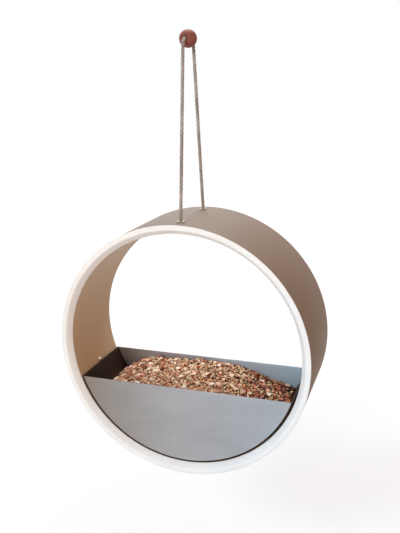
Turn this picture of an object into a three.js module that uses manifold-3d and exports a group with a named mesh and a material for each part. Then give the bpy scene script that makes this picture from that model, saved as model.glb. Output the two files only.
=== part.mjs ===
// Hanging ring bird feeder: a wide upright ring on a knotted cord, with a sheet metal seed tray
// lying in the bottom of the ring. Millimetres, +Z up, the ring's axis along Y, its front at -Y.
// The origin is the middle of the wooden bead that the cord loop hangs by.

import * as THREE from 'three';
import { mergeVertices } from 'three/addons/utils/BufferGeometryUtils.js';
import Module from 'manifold-3d';

const wasm = await Module();
wasm.setup();

// Ring
const RING_DIAMETER = 280;
const RING_DEPTH = 106;
const RING_WALL = 10.5;
const RIM_CHAMFER_WIDTH = 5;
const RIM_CHAMFER_DEPTH = 6.7;
const RING_EDGE = 0.6;
const RING_SEGMENTS = 120;

// Hanging height, from the bead's bore to the ring's axis
const HANG_DROP = 320;

// Tray, as deep as the ring's flat inner wall and cut level along its rim below the ring's axis
const TRAY_RIM_DROP = 41.9;
const TRAY_PLAY = 2;
const TROUGH_SHEET = 1.8;
const PANEL_SHEET = 1;
const TRAY_SEGMENTS = 48;

// Seed heap: its level below the rim, the crown in its middle, the slopes at its two ends, and its mounds
const SEED_LEVEL = 4.8;
const SEED_CROWN = 2.2;
const SEED_CROWN_PLACE = 4;
const SEED_CROWN_SPREAD = 32;
const SEED_LEFT_SHOULDER = 75;
const SEED_LEFT_SLOPE = 0.58;
const SEED_RIGHT_SHOULDER = 35;
const SEED_RIGHT_SLOPE = 0.27;
const SEED_SHOULDER_ROUND = 8;
const MOUND_HEIGHT = 2.2;
const MOUND_SPACING = 18;
const MOUND_DRIFT = 5;
const MOUND_DRIFT_LENGTH = 41;
const SEED_STEPS = 44;
const SEED_ROWS = 16;

// Large kernels that lie on the heap, one in each cell of a grid
const KERNEL_LENGTH = 8;
const KERNEL_WIDTH = 5.4;
const KERNEL_THICKNESS = 3;
const KERNEL_SPACING = 12;
const KERNEL_SHIFT = 3;
const KERNEL_REACH = 100;
const KERNEL_SIDES = 6;
const KERNEL_RINGS = 3;
const GOLDEN_ANGLE = Math.PI * (3 - Math.sqrt(5));

// Cord, its two holes set in from the rims, and the metal eyelets in them
const CORD_DIAMETER = 3.7;
const CORD_SIDES = 8;
const CORD_STEPS = 48;
const HOLE_INSET = 17;
const EYELET_BORE = 4.8;
const EYELET_WALL = 0.6;
const EYELET_FLANGE_DIAMETER = 9;
const EYELET_FLANGE_THICKNESS = 0.8;
const EYELET_SEGMENTS = 24;

// Stopper knots, each in a pocket bored into the inside of the ring
const KNOT_DIAMETER = 10.4;
const KNOT_HEIGHT = 6.4;
const KNOT_TAIL = 2;
const KNOT_POCKET_DEPTH = 7;
const KNOT_SEGMENTS = 16;

// Wooden bead at the top of the cord loop
const BEAD_DIAMETER = 18;
const BEAD_LENGTH = 16;
const BEAD_END_DIAMETER = 10;
const BEAD_SEGMENTS = 32;

// Pan head screws that stop the tray from turning in the ring
const SCREW_HEAD_DIAMETER = 4;
const SCREW_HEAD_HEIGHT = 2;
const SCREW_SHANK_DIAMETER = 2.2;
const SCREW_LENGTH = 8;
const SCREW_RECESS_SPAN = 2.2;
const SCREW_RECESS_WIDTH = 0.6;
const SCREW_RECESS_DEPTH = 0.8;
const SCREW_SEGMENTS = 20;

// Clearances
const SEAT_GAP = 0.3;
const STOP_GAP = 0.4;
const CORD_FLEX_GAP = 1.1;

// Values that follow from the driving dimensions
const ringRadius = RING_DIAMETER / 2;
const ringInnerRadius = ringRadius - RING_WALL;
const cordRadius = CORD_DIAMETER / 2;
const trayRadius = ringInnerRadius - TRAY_PLAY;
const trayInnerRadius = trayRadius - TROUGH_SHEET;
const trayCentreDrop = TRAY_PLAY - SEAT_GAP;
const rimBelowTrayCentre = TRAY_RIM_DROP - trayCentreDrop;
const trayDepth = RING_DEPTH - 2 * RIM_CHAMFER_DEPTH;
const trayInnerDepth = trayDepth - 2 * PANEL_SHEET;
const holePlace = RING_DEPTH / 2 - HOLE_INSET;
const eyeletBarrelRadius = EYELET_BORE / 2 + EYELET_WALL;
const eyeletTop = ringRadius + SEAT_GAP + EYELET_FLANGE_THICKNESS;
const cordPivotHeight = eyeletTop + SEAT_GAP;
const knotPocketTop = ringInnerRadius + KNOT_POCKET_DEPTH;

// The cord's route through the bead and down to both holes, as [y, z] from the bead's middle,
// listed from the front hole to the middle of the bead; the rear half mirrors it
const CORD_HALF_ROUTE = [
  [-36, -178.6],
  [-33.8, -160],
  [-30.8, -135],
  [-27.9, -110],
  [-24.9, -85],
  [-22, -60],
  [-19.6, -40],
  [-17.5, -22],
  [-16.3, -12],
  [-15.6, -6.6],
  [-14.7, -3.75],
  [-12.7, -1.5],
  [-10.1, -0.3],
  [-8.2, 0],
  [0, 0],
];

// Closed mesh helpers

function closedGeometry(geometry) {
  const shape = geometry.index ? geometry : mergeVertices(geometry);
  shape.deleteAttribute('normal');
  shape.deleteAttribute('uv');
  const merged = mergeVertices(shape);
  const corners = merged.index.array;
  const kept = [];
  for (let i = 0; i < corners.length; i += 3) {
    const [a, b, c] = corners.slice(i, i + 3);
    if (a !== b && b !== c && c !== a) kept.push(a, b, c);
  }
  merged.setIndex(kept);
  return merged;
}

function solidOf(geometry) {
  const closed = closedGeometry(geometry);
  const vertProperties = new Float32Array(closed.attributes.position.array);
  const triVerts = new Uint32Array(closed.index.array);
  return new wasm.Manifold(new wasm.Mesh({ numProp: 3, vertProperties, triVerts }));
}

function geometryOf(solid) {
  const { vertProperties, triVerts } = solid.getMesh();
  const geometry = new THREE.BufferGeometry();
  geometry.setAttribute('position', new THREE.BufferAttribute(vertProperties, 3));
  geometry.setIndex(new THREE.BufferAttribute(triVerts, 1));
  geometry.computeVertexNormals();
  return geometry;
}

function cutFrom(geometry, cutters) {
  let solid = solidOf(geometry);
  for (const cutter of cutters) solid = solid.subtract(solidOf(cutter));
  return geometryOf(solid);
}

// A turned shape about Y, from [radius, height] pairs listed upwards along the outside
function turned(profile, segments) {
  const points = profile.map(([radius, height]) => new THREE.Vector2(radius, height));
  return closedGeometry(new THREE.LatheGeometry(points, segments));
}

// Turned shapes and extrusions are made about Y or in XY; this stands them up, Y to Z
function upright(geometry) {
  return geometry.rotateX(Math.PI / 2);
}

function arcPoints(centre, radii, fromAngle, toAngle, steps) {
  const points = [];
  for (let i = 0; i <= steps; i += 1) {
    const angle = fromAngle + ((toAngle - fromAngle) * i) / steps;
    points.push([centre[0] + radii[0] * Math.cos(angle), centre[1] + radii[1] * Math.sin(angle)]);
  }
  return points;
}

function piece(name, geometry, material) {
  const mesh = new THREE.Mesh(geometry, material);
  mesh.name = name;
  return mesh;
}

// Finishes

function finish(color, roughness, metalness) {
  return new THREE.MeshStandardMaterial({ color, roughness, metalness });
}

const taupeRing = finish(0xa3947f, 0.7, 0);
const zincSheet = finish(0xa0a3a6, 0.4, 0.8);
const darkSheet = finish(0x3e2e20, 0.55, 0.3);
const juteCord = finish(0xaa9c88, 0.95, 0);
const paleEyelet = finish(0xcfc8b8, 0.35, 0.9);
const brightScrew = finish(0xc9c6c2, 0.3, 1);
const redBrownWood = finish(0x80483f, 0.55, 0);
const mixedSeed = finish(0xb08a5c, 0.9, 0);

// Ring: a deep hoop whose front and rear inner edges are chamfered

function ringProfile() {
  const half = RING_DEPTH / 2;
  const rimRadius = ringInnerRadius + RIM_CHAMFER_WIDTH;
  return [
    [rimRadius, -half],
    [ringRadius - RING_EDGE, -half],
    [ringRadius, -half + RING_EDGE],
    [ringRadius, half - RING_EDGE],
    [ringRadius - RING_EDGE, half],
    [rimRadius, half],
    [ringInnerRadius, half - RIM_CHAMFER_DEPTH],
    [ringInnerRadius, -half + RIM_CHAMFER_DEPTH],
    [rimRadius, -half],
  ];
}

// A hole for the eyelet, and a wider pocket below it for the knot
function cordHole(y) {
  const hole = eyeletBarrelRadius + SEAT_GAP;
  const pocket = KNOT_DIAMETER / 2 + SEAT_GAP;
  const profile = [
    [0, ringInnerRadius - RING_WALL],
    [pocket, ringInnerRadius - RING_WALL],
    [pocket, knotPocketTop],
    [hole, knotPocketTop],
    [hole, ringRadius + RING_WALL],
    [0, ringRadius + RING_WALL],
  ];
  return upright(turned(profile, EYELET_SEGMENTS)).translate(0, y, 0);
}

// The angle below level at which a screw head just clears the tray's end
const screwSeatRadius = ringInnerRadius - SEAT_GAP;
const screwHeadReach = Math.hypot(screwSeatRadius, SCREW_HEAD_DIAMETER / 2);
const screwHeadAngle = Math.atan2(SCREW_HEAD_DIAMETER / 2, screwSeatRadius);
const screwAngle = Math.asin((TRAY_RIM_DROP - STOP_GAP) / screwHeadReach) - screwHeadAngle;

// Lays a shape made along Y out along a radius of the ring, on the left (-1) or right (+1) side
function radial(geometry, side) {
  geometry.rotateZ(Math.PI / 2);
  if (side > 0) geometry.rotateY(Math.PI);
  return geometry.rotateY(side * screwAngle);
}

function screwHole(side) {
  const radius = SCREW_SHANK_DIAMETER / 2 + SEAT_GAP;
  const mouth = screwSeatRadius - SCREW_HEAD_HEIGHT;
  const bottom = screwSeatRadius + SCREW_LENGTH + SEAT_GAP;
  const hole = new THREE.CylinderGeometry(radius, radius, bottom - mouth, SCREW_SEGMENTS);
  return radial(hole.translate(0, (mouth + bottom) / 2, 0), side);
}

function ringShell() {
  const hoop = turned(ringProfile(), RING_SEGMENTS);
  const holes = [-1, 1].flatMap((side) => [cordHole(side * holePlace), screwHole(side)]);
  return cutFrom(hoop, holes);
}

// Eyelet: a flanged tube that lines a cord hole

function eyelet(y) {
  const bore = EYELET_BORE / 2;
  const flange = EYELET_FLANGE_DIAMETER / 2;
  const bottom = knotPocketTop;
  const seat = ringRadius + SEAT_GAP;
  const profile = [
    [bore, bottom],
    [eyeletBarrelRadius, bottom],
    [eyeletBarrelRadius, seat],
    [flange, seat],
    [flange, seat + EYELET_FLANGE_THICKNESS / 2],
    [flange - EYELET_WALL, eyeletTop],
    [bore + EYELET_WALL / 2, eyeletTop],
    [bore, eyeletTop - EYELET_WALL / 2],
    [bore, bottom],
  ];
  return upright(turned(profile, EYELET_SEGMENTS)).translate(0, y, 0);
}

// Knot: the cord's end in the eyelet, the stopper knot in its pocket and a short tail

function knot(y) {
  const top = cordPivotHeight - CORD_FLEX_GAP;
  const knotTop = knotPocketTop - SEAT_GAP;
  const middle = knotTop - KNOT_HEIGHT / 2;
  const tailEnd = knotTop - KNOT_HEIGHT - KNOT_TAIL;
  const radii = [KNOT_DIAMETER / 2, KNOT_HEIGHT / 2];
  const neck = Math.acos(cordRadius / radii[0]);
  const profile = [
    [0, tailEnd],
    [cordRadius, tailEnd],
    ...arcPoints([0, middle], radii, -neck, neck, KNOT_SEGMENTS / 2),
    [cordRadius, top],
    [0, top],
  ];
  return upright(turned(profile, KNOT_SEGMENTS)).translate(0, y, 0);
}

// Screw: a domed pan head with a cross recess, on a plain shank along Y towards the ring's wall

function stopScrew(side) {
  const shank = SCREW_SHANK_DIAMETER / 2;
  const head = SCREW_HEAD_DIAMETER / 2;
  const headTop = screwSeatRadius - SCREW_HEAD_HEIGHT;
  const tip = screwSeatRadius + SCREW_LENGTH;
  const dome = arcPoints([0, screwSeatRadius], [head, SCREW_HEAD_HEIGHT], -Math.PI / 2, 0, 5);
  const profile = [...dome, [shank, screwSeatRadius], [shank, tip - shank], [0, tip]];
  const body = turned(profile, SCREW_SEGMENTS);
  const recess = [
    [SCREW_RECESS_SPAN, SCREW_RECESS_WIDTH],
    [SCREW_RECESS_WIDTH, SCREW_RECESS_SPAN],
  ].map(([x, z]) => {
    const slot = new THREE.BoxGeometry(x, 2 * SCREW_RECESS_DEPTH, z);
    return slot.translate(0, headTop, 0);
  });
  return radial(cutFrom(body, recess), side);
}

// Tray: a curved trough with a flat panel set into each end, all cut level at the rim

function troughSection() {
  const outer = Math.asin(rimBelowTrayCentre / trayRadius);
  const inner = Math.asin(rimBelowTrayCentre / trayInnerRadius);
  const section = new THREE.Shape();
  section.absarc(0, 0, trayRadius, Math.PI + outer, 2 * Math.PI - outer, false);
  section.absarc(0, 0, trayInnerRadius, 2 * Math.PI - inner, Math.PI + inner, true);
  return section;
}

function levelSegment(radius) {
  const end = Math.asin(rimBelowTrayCentre / radius);
  const section = new THREE.Shape();
  section.absarc(0, 0, radius, Math.PI + end, 2 * Math.PI - end, false);
  return section;
}

// Extrudes a section of the tray along Y, centred on y
function alongY(section, length, y) {
  const settings = { depth: length, bevelEnabled: false, curveSegments: TRAY_SEGMENTS };
  const geometry = upright(new THREE.ExtrudeGeometry(section, settings));
  return closedGeometry(geometry.translate(0, y + length / 2, 0));
}

// Seed heap

function smoothRamp(distance) {
  return (distance + Math.hypot(distance, SEED_SHOULDER_ROUND)) / 2;
}

// Mounds in staggered rows that drift, so that they don't line up
function mound(x, y) {
  const wave = (Math.SQRT2 * Math.PI) / MOUND_SPACING;
  const drift = (2 * Math.PI) / MOUND_DRIFT_LENGTH;
  const along = Math.cos(wave * (x + MOUND_DRIFT * Math.sin(drift * y)));
  const across = Math.cos(wave * (y + MOUND_DRIFT * Math.sin(drift * x)));
  return (MOUND_HEIGHT / 2) * along * across;
}

// Height of the heap's surface from the tray's centre
function heapHeight(x, y) {
  const fromCrown = (x - SEED_CROWN_PLACE) / SEED_CROWN_SPREAD;
  const crown = SEED_CROWN * Math.exp(-fromCrown * fromCrown);
  const level = -rimBelowTrayCentre - SEED_LEVEL + crown + mound(x, y);
  const leftFall = SEED_LEFT_SLOPE * smoothRamp(-x - SEED_LEFT_SHOULDER);
  const rightFall = SEED_RIGHT_SLOPE * smoothRamp(x - SEED_RIGHT_SHOULDER);
  return level - leftFall - rightFall;
}

// Where the kernels lie, as [x, y, heading], each shifted and turned on from the one before
function kernelPlaces() {
  const columns = Math.floor(KERNEL_REACH / KERNEL_SPACING);
  const rows = Math.floor((trayInnerDepth / 2 - KERNEL_LENGTH) / KERNEL_SPACING);
  const places = [];
  for (let i = -columns; i <= columns; i += 1) {
    for (let j = -rows; j <= rows; j += 1) {
      const heading = GOLDEN_ANGLE * places.length;
      const x = KERNEL_SPACING * i + KERNEL_SHIFT * Math.cos(heading);
      const y = KERNEL_SPACING * j + KERNEL_SHIFT * Math.sin(heading);
      places.push([x, y, heading]);
    }
  }
  return places;
}

// A kernel: a flattened ball, half sunk in the heap and tilted with its slope
function kernel(x, y, heading) {
  const step = KERNEL_WIDTH / 2;
  const slopeX = (heapHeight(x + step, y) - heapHeight(x - step, y)) / (2 * step);
  const slopeY = (heapHeight(x, y + step) - heapHeight(x, y - step)) / (2 * step);
  const normal = new THREE.Vector3(-slopeX, -slopeY, 1).normalize();
  const tilt = new THREE.Quaternion().setFromUnitVectors(new THREE.Vector3(0, 0, 1), normal);
  const shape = upright(new THREE.SphereGeometry(0.5, KERNEL_SIDES, KERNEL_RINGS));
  shape.scale(KERNEL_LENGTH, KERNEL_WIDTH, KERNEL_THICKNESS).rotateZ(heading).applyQuaternion(tilt);
  return shape.translate(x, y, heapHeight(x, y));
}

function seedFill() {
  const reach = trayInnerRadius - SEAT_GAP;
  const block = new THREE.BoxGeometry(
    2 * trayRadius, trayInnerDepth, 2 * trayRadius, SEED_STEPS, SEED_ROWS, 1);
  const corners = block.attributes.position;
  for (let i = 0; i < corners.count; i += 1) {
    const onTop = corners.getZ(i) > 0;
    if (onTop) corners.setZ(i, heapHeight(corners.getX(i), corners.getY(i)));
  }
  let heap = solidOf(block);
  for (const place of kernelPlaces()) heap = heap.add(solidOf(kernel(...place)));
  const tub = alongY(levelSegment(reach), trayInnerDepth - 2 * SEAT_GAP, 0);
  return geometryOf(heap.intersect(solidOf(tub)));
}

// Bead: a turned wooden barrel with a bore along Y that the cord turns in

function bead() {
  const half = BEAD_LENGTH / 2;
  const bore = cordRadius + SEAT_GAP;
  const end = BEAD_END_DIAMETER / 2;
  const bulge = [BEAD_DIAMETER / 2 - end, half];
  const profile = [
    [bore, -half],
    ...arcPoints([end, 0], bulge, -Math.PI / 2, Math.PI / 2, 12),
    [bore, half],
    [bore, -half],
  ];
  return turned(profile, BEAD_SEGMENTS);
}

// Cord: one tube from hole to hole, through the bead

function cord() {
  const front = CORD_HALF_ROUTE.map(([y, z]) => new THREE.Vector3(0, y, z));
  const rear = CORD_HALF_ROUTE.slice(0, -1).map(([y, z]) => new THREE.Vector3(0, -y, z));
  const route = new THREE.CatmullRomCurve3([...front, ...rear.reverse()], false, 'centripetal');
  const section = new THREE.Shape();
  for (let i = 0; i < CORD_SIDES; i += 1) {
    const angle = (2 * Math.PI * i) / CORD_SIDES;
    const corner = [cordRadius * Math.cos(angle), cordRadius * Math.sin(angle)];
    if (i === 0) section.moveTo(...corner);
    else section.lineTo(...corner);
  }
  return closedGeometry(new THREE.ExtrudeGeometry(section, { steps: CORD_STEPS, extrudePath: route }));
}

// Assembly: the ring hangs below the bead, and the tray lies in the ring

const tray = new THREE.Group();
tray.position.set(0, 0, -trayCentreDrop);
const panelPlace = (trayDepth - PANEL_SHEET) / 2;
tray.add(
  piece('tray_trough', alongY(troughSection(), trayDepth, 0), darkSheet),
  piece('tray_front_panel', alongY(levelSegment(trayInnerRadius), PANEL_SHEET, -panelPlace), zincSheet),
  piece('tray_rear_panel', alongY(levelSegment(trayInnerRadius), PANEL_SHEET, panelPlace), zincSheet),
  piece('seed_fill', seedFill(), mixedSeed),
);

const ring = new THREE.Group();
ring.position.set(0, 0, -HANG_DROP);
ring.add(
  piece('ring_shell', ringShell(), taupeRing),
  piece('front_eyelet', eyelet(-holePlace), paleEyelet),
  piece('rear_eyelet', eyelet(holePlace), paleEyelet),
  piece('front_cord_knot', knot(-holePlace), juteCord),
  piece('rear_cord_knot', knot(holePlace), juteCord),
  piece('left_stop_screw', stopScrew(-1), brightScrew),
  piece('right_stop_screw', stopScrew(1), brightScrew),
  tray,
);

const feeder = new THREE.Group();
feeder.add(
  piece('hanging_bead', bead(), redBrownWood),
  piece('hanging_cord', cord(), juteCord),
  ring,
);

export default feeder;
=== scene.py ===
# %% [markdown]
# # Hanging ring bird feeder
# A wide upright ring hangs on a jute cord, and a sheet metal tray of mixed seed lies in the bottom
# of it. This lesson dresses the measured solids of that feeder. Each piece is modelled as a person
# would do it by hand, and each finish is built from nodes. The solids load first, as a frame that
# nothing moves.

# %% Load the measured frame
import math
from collections import namedtuple

import bmesh
import bpy
import numpy as np
from mathutils import Matrix, Vector


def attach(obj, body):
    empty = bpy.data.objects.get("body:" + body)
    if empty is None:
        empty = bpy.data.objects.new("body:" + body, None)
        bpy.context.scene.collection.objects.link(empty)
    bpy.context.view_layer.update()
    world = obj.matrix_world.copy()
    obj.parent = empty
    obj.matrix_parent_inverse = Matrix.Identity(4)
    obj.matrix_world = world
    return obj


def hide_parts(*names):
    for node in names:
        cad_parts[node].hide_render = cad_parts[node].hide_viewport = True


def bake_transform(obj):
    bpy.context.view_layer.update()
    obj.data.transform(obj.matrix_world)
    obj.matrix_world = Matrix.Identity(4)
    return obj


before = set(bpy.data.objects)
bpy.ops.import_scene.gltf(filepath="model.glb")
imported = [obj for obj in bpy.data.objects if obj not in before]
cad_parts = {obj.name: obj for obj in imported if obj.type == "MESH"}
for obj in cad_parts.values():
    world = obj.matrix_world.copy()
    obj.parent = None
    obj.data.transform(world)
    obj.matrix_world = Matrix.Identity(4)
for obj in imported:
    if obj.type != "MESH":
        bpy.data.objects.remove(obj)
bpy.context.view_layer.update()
MM = 0.001
print("measured nodes:", ", ".join(sorted(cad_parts)))

# %% [markdown]
# ## Camera
# The feeder is seen from a little above and from its right, so that the ring shows its front rim,
# its outer wall on the right and its inner wall on the left. The eye point, the aim and the lens
# were solved from the ring's ellipses. A camera could also be turned with angles, but a matrix
# built from its three own directions leaves no doubt about which way is up.

# %% Aim the camera
EYE = Vector((0.2431, -0.6796, -0.0387))
LOOK_AT = Vector((0.0073, 0.0, -0.23645))
CAMERA_ROLL = math.radians(-1.27)
LENS = 46.22

forward = (LOOK_AT - EYE).normalized()
level = forward.cross(Vector((0, 0, 1))).normalized()
upward = level.cross(forward)
right_hand = math.cos(CAMERA_ROLL) * level + math.sin(CAMERA_ROLL) * upward
overhead = math.cos(CAMERA_ROLL) * upward - math.sin(CAMERA_ROLL) * level
camera_data = bpy.data.cameras.new("view_camera")
camera_data.lens = LENS
camera = bpy.data.objects.new("view_camera", camera_data)
turn = Matrix((right_hand, overhead, -forward)).transposed().to_4x4()
camera.matrix_world = Matrix.Translation(EYE) @ turn
bpy.context.scene.collection.objects.link(camera)
bpy.context.scene.camera = camera
print("camera stands", round((LOOK_AT - EYE).length, 3), "m from its aim")

# %% [markdown]
# ## Hand tools
# An operator acts on everything that is selected, and the loaded solids are all selected. So every
# step starts from nothing selected. Elements are then picked by where they are, which is what a
# person does with the mouse. The same few tools serve every piece below.

# %% Choose a piece and open it


def clear_selection():
    """Object mode, with nothing selected."""
    if bpy.context.mode != "OBJECT":
        bpy.ops.object.mode_set(mode="OBJECT")
    bpy.ops.object.select_all(action="DESELECT")


def choose(piece):
    """Makes one piece the only selected and active one."""
    clear_selection()
    piece.select_set(True)
    bpy.context.view_layer.objects.active = piece


def edit(piece):
    """Edit mode on one piece, with all of it selected."""
    choose(piece)
    bpy.ops.object.mode_set(mode="EDIT")
    bpy.ops.mesh.select_all(action="SELECT")
    return piece


def begin(add, stretch=(1, 1, 1), **settings):
    """Adds a primitive, turns it, stretches it about its own middle, and opens it in edit mode."""
    clear_selection()
    add(**settings)
    piece = bpy.context.object
    bpy.ops.object.transform_apply(location=False, rotation=True, scale=False)
    piece.scale = stretch
    bpy.ops.object.transform_apply(location=True, rotation=True, scale=True)
    return edit(piece)


print("opening tools ready")

# %% Shape what is open
DOUBLED = 0.001 * MM


def extrude(move):
    """Extrudes what is selected along a vector."""
    bpy.ops.mesh.extrude_region_move(TRANSFORM_OT_translate={"value": move})


def nudge(move):
    """Moves what is selected along a vector."""
    bpy.ops.transform.translate(value=move)


def resize(factors, centre=(0, 0, 0)):
    """Scales what is selected about a centre."""
    bpy.ops.transform.resize(value=factors, center_override=centre)


def cut_away(point, normal, fill=False):
    """Cuts everything with a plane and throws away the side that the normal points to."""
    square = Vector(normal).normalized()
    bpy.ops.mesh.select_all(action="SELECT")
    bpy.ops.mesh.bisect(
        plane_co=point, plane_no=square, clear_outer=True, use_fill=fill, threshold=DOUBLED
    )
    bpy.ops.mesh.select_all(action="SELECT")


def close_mesh():
    """Merges doubled points and turns every face outwards."""
    bpy.ops.mesh.select_all(action="SELECT")
    bpy.ops.mesh.remove_doubles(threshold=DOUBLED)
    bpy.ops.mesh.normals_make_consistent(inside=False)


print("shaping tools ready")

# %% Pick elements by their place
SELECT_MODES = {"verts": "VERT", "edges": "EDGE", "faces": "FACE"}
NEAR = 0.01 * MM


def middle(element):
    """A vertex's place, or the middle of an edge's or a face's corners."""
    if isinstance(element, bmesh.types.BMVert):
        return element.co
    return sum((v.co for v in element.verts), Vector()) / len(element.verts)


def pick(piece, kind, wanted):
    """Selects the verts, edges or faces whose middle passes the test, and nothing else."""
    bpy.ops.mesh.select_mode(type=SELECT_MODES[kind])
    bpy.ops.mesh.select_all(action="DESELECT")
    shape = bmesh.from_edit_mesh(piece.data)
    for element in getattr(shape, kind):
        if wanted(middle(element)):
            element.select_set(True)
    bmesh.update_edit_mesh(piece.data)


print("picking tools ready")

# %% Finish a piece and fit it


def use_modifier(piece, kind, **settings):
    """Adds a modifier and applies it at once."""
    choose(piece)
    modifier = piece.modifiers.new(kind.lower(), kind)
    for key, value in settings.items():
        setattr(modifier, key, value)
    bpy.ops.object.modifier_apply(modifier=modifier.name)


def complete(piece, name, *finishes, smooth):
    """Names a piece, shades it smooth up to an angle in degrees, and gives it its finishes."""
    choose(piece)
    piece.name = name
    piece.data.name = name
    bpy.ops.object.transform_apply(location=True, rotation=True, scale=True)
    bpy.ops.object.shade_smooth_by_angle(angle=math.radians(smooth))
    piece.data.materials.clear()
    for finish in finishes:
        piece.data.materials.append(finish)
    print(name, "has", len(piece.data.polygons), "faces")
    return piece


def fit(piece, body, slot, *nodes):
    """Hands a piece to the frame: the body it rides on, and hides the solids it stands for. The
    slot is not used.
    """
    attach(piece, body)
    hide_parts(*nodes)


print("finishing tools ready")

# %% [markdown]
# ## Tools for finishes
# A finish is a shader with a pattern under it. Each pattern below is a noise that is stretched
# along the direction the real surface was worked in, and goes through a colour ramp. The same
# noise raises or lowers the roughness and feeds a bump. Colours are written as they look on a
# screen, from 0 to 255. Every tool takes the owner of the nodes, which is a material or the world.

# %% Add nodes and feed them


def feed(owner, node, values):
    """Sets a node's sockets to plain values, or links the outputs of other nodes to them."""
    for name, value in values.items():
        socket = node.inputs[name]
        if isinstance(value, bpy.types.NodeSocket):
            owner.node_tree.links.new(value, socket)
        else:
            socket.default_value = value


def add_node(owner, kind, values, **settings):
    """A new node in a material or in the world."""
    node = owner.node_tree.nodes.new(f"ShaderNode{kind}")
    for key, value in settings.items():
        setattr(node, key, value)
    feed(owner, node, values)
    return node


def set_shader(material, values):
    """Feeds a material's own shader."""
    feed(material, material.node_tree.nodes["Principled BSDF"], values)


def new_finish(name, roughness, metallic=0.0, specular=0.5):
    """A material with its plain values set on the shader itself."""
    material = bpy.data.materials.new(name)
    material.use_nodes = True
    plain = {"Roughness": roughness, "Metallic": metallic, "Specular IOR Level": specular}
    set_shader(material, plain)
    return material


print("node tools ready")

# %% Lay patterns on a surface


def pattern(
    owner, scale, stretch=(1, 1, 1), source="Object", detail=3.0, rough=0.5, turn=(0, 0, 0)
):
    """A noise on Object or UV coordinates, stretched by the mapping's scale."""
    place = add_node(owner, "TexCoord", {}).outputs[source]
    mapping = add_node(owner, "Mapping", {"Vector": place, "Scale": stretch, "Rotation": turn})
    noise = {"Vector": mapping.outputs[0], "Scale": scale, "Detail": detail, "Roughness": rough}
    return add_node(owner, "TexNoise", noise).outputs["Fac"]


def rescale(owner, value, old, new=(0, 1)):
    """A value moved from one range to another, and held inside it."""
    ends = {"From Min": old[0], "From Max": old[1], "To Min": new[0], "To Max": new[1]}
    return add_node(owner, "MapRange", {"Value": value, **ends}).outputs["Result"]


def along_x(owner, half, source="Object", slant=0.0, shift=0.0):
    """A point's place along X, or along a line at a slant to it: 0 at the left, 1 at the right."""
    place = add_node(owner, "TexCoord", {}).outputs[source]
    turned = {"Vector": place, "Rotation": (0, slant, 0), "Location": (shift, 0, 0)}
    mapping = add_node(owner, "Mapping", turned)
    sides = add_node(owner, "SeparateXYZ", {"Vector": mapping.outputs[0]})
    return rescale(owner, sides.outputs["X"], (-half, half))


print("pattern tools ready")

# %% Colour and roughen a surface
WHITE = (255, 255, 255)
NOISE_RANGE = (0.25, 0.75)
MIX_SHARE, MIX_FIRST, MIX_SECOND, MIX_RESULT = 0, 6, 7, 2


def linear(colour):
    """A colour as it looks on screen, made linear for a shader."""
    shares = [value / 255 for value in colour]
    return [s / 12.92 if s <= 0.04045 else ((s + 0.055) / 1.055) ** 2.4 for s in shares] + [1.0]


def ramp(owner, value, *stops):
    """Colours along a value: stops of a place and a screen colour, or of a light of four parts."""
    colours = add_node(owner, "ValToRGB", {"Fac": value})
    elements = colours.color_ramp.elements
    while len(elements) < len(stops):
        elements.new(0.5)
    for element, (place, colour) in zip(elements, stops):
        element.position = place
        element.color = linear(colour) if len(colour) == 3 else colour
    return colours.outputs["Color"]


def paint(material, *layers):
    """Multiplies colour ramps, each a value with its stops, into the shader's colour."""
    colour, *shades = [ramp(material, value, *stops) for value, *stops in layers]
    for shade in shades:
        parts = {MIX_SHARE: 1.0, MIX_FIRST: colour, MIX_SECOND: shade}
        mix = add_node(material, "Mix", parts, data_type="RGBA", blend_type="MULTIPLY")
        colour = mix.outputs[MIX_RESULT]
    set_shader(material, {"Base Color": colour})
    print(material.name, "is painted in", len(layers), "layers")


def roughen(material, value, low, high):
    """Roughness between two values, from a noise, which stays near its middle."""
    set_shader(material, {"Roughness": rescale(material, value, NOISE_RANGE, (low, high))})


def raise_surface(material, value, height, strength):
    """A bump from a noise, with its height in metres."""
    bump = add_node(material, "Bump", {"Height": value, "Distance": height, "Strength": strength})
    set_shader(material, {"Normal": bump.outputs["Normal"]})


print("colour tools ready")

# %% [markdown]
# ## Jute cord
# One cord holds the feeder up. It leaves a knot under the front of the ring, rises through an
# eyelet, runs through the bead and comes down to the rear eyelet in the same way. Jute cord of
# this size is three strands laid round each other. A plain tube with a bump would look smooth in
# outline, so the three strands are real, and loose fibres stand off them. The route repeats the
# measured one.

# %% Lay out the cord's route
CORD_DIAMETER = 3.7 * MM
CORD_STEP = 0.6 * MM
CORD_LAY = 13 * MM
CORD_END_Z = -185.0 * MM
HOLE_Y = 36 * MM
HOLES = (("front", -HOLE_Y), ("rear", HOLE_Y))
FINE_STEPS = 60
HALF_ROUTE = [
    (-36, -178.6), (-33.8, -160), (-30.8, -135), (-27.9, -110), (-24.9, -85),
    (-22, -60), (-19.6, -40), (-17.5, -22), (-16.3, -12), (-15.6, -6.6),
    (-14.7, -3.75), (-12.7, -1.5), (-10.1, -0.3), (-8.2, 0), (0, 0),
]


def run_of(line):
    """How far along a line each of its points lies."""
    return np.concatenate([[0], np.cumsum(np.linalg.norm(np.diff(line, axis=0), axis=1))])


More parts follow.
